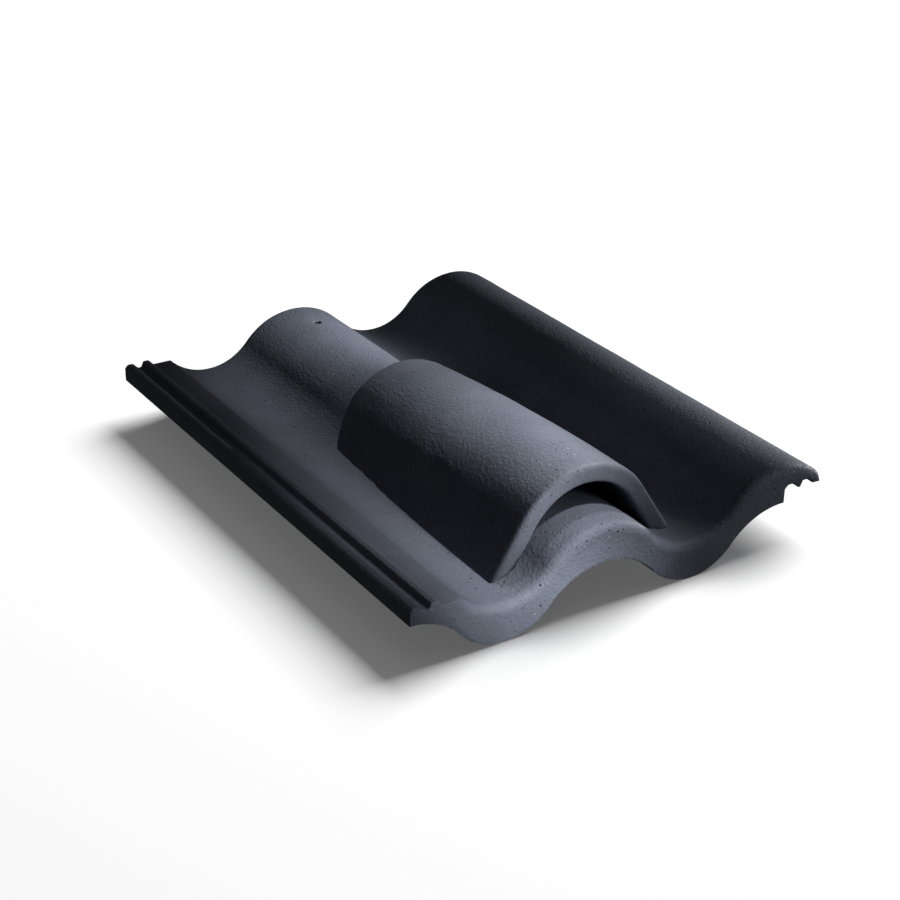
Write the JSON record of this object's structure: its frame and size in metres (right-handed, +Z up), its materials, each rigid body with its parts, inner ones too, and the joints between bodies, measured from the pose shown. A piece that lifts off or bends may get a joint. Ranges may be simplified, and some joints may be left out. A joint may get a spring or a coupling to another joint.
{
  "type": "roof vent tile",
  "caption": "Rolled concrete roof tile with interlocking side edges and a bonded hood over its central roll, open towards the eaves, that sheds rain and lets the roof space breathe.",
  "frame": {"origin": "on the floor under the middle of the tile, which lies on its front nose and its two hanging nibs", "axes": "+X along the row of tiles from the open lock to the covering lock, +Y up the roof slope from the nose to the head, +Z up out of the roof"},
  "size_m": [0.33, 0.42, 0.0925],
  "materials": {
    "coated_concrete": "matt slate grey coating on fine concrete"
  },
  "bodies": {
    "root": {"wave_tile": "coated_concrete", "vent_hood": "coated_concrete"}
  },
  "joints": []
}
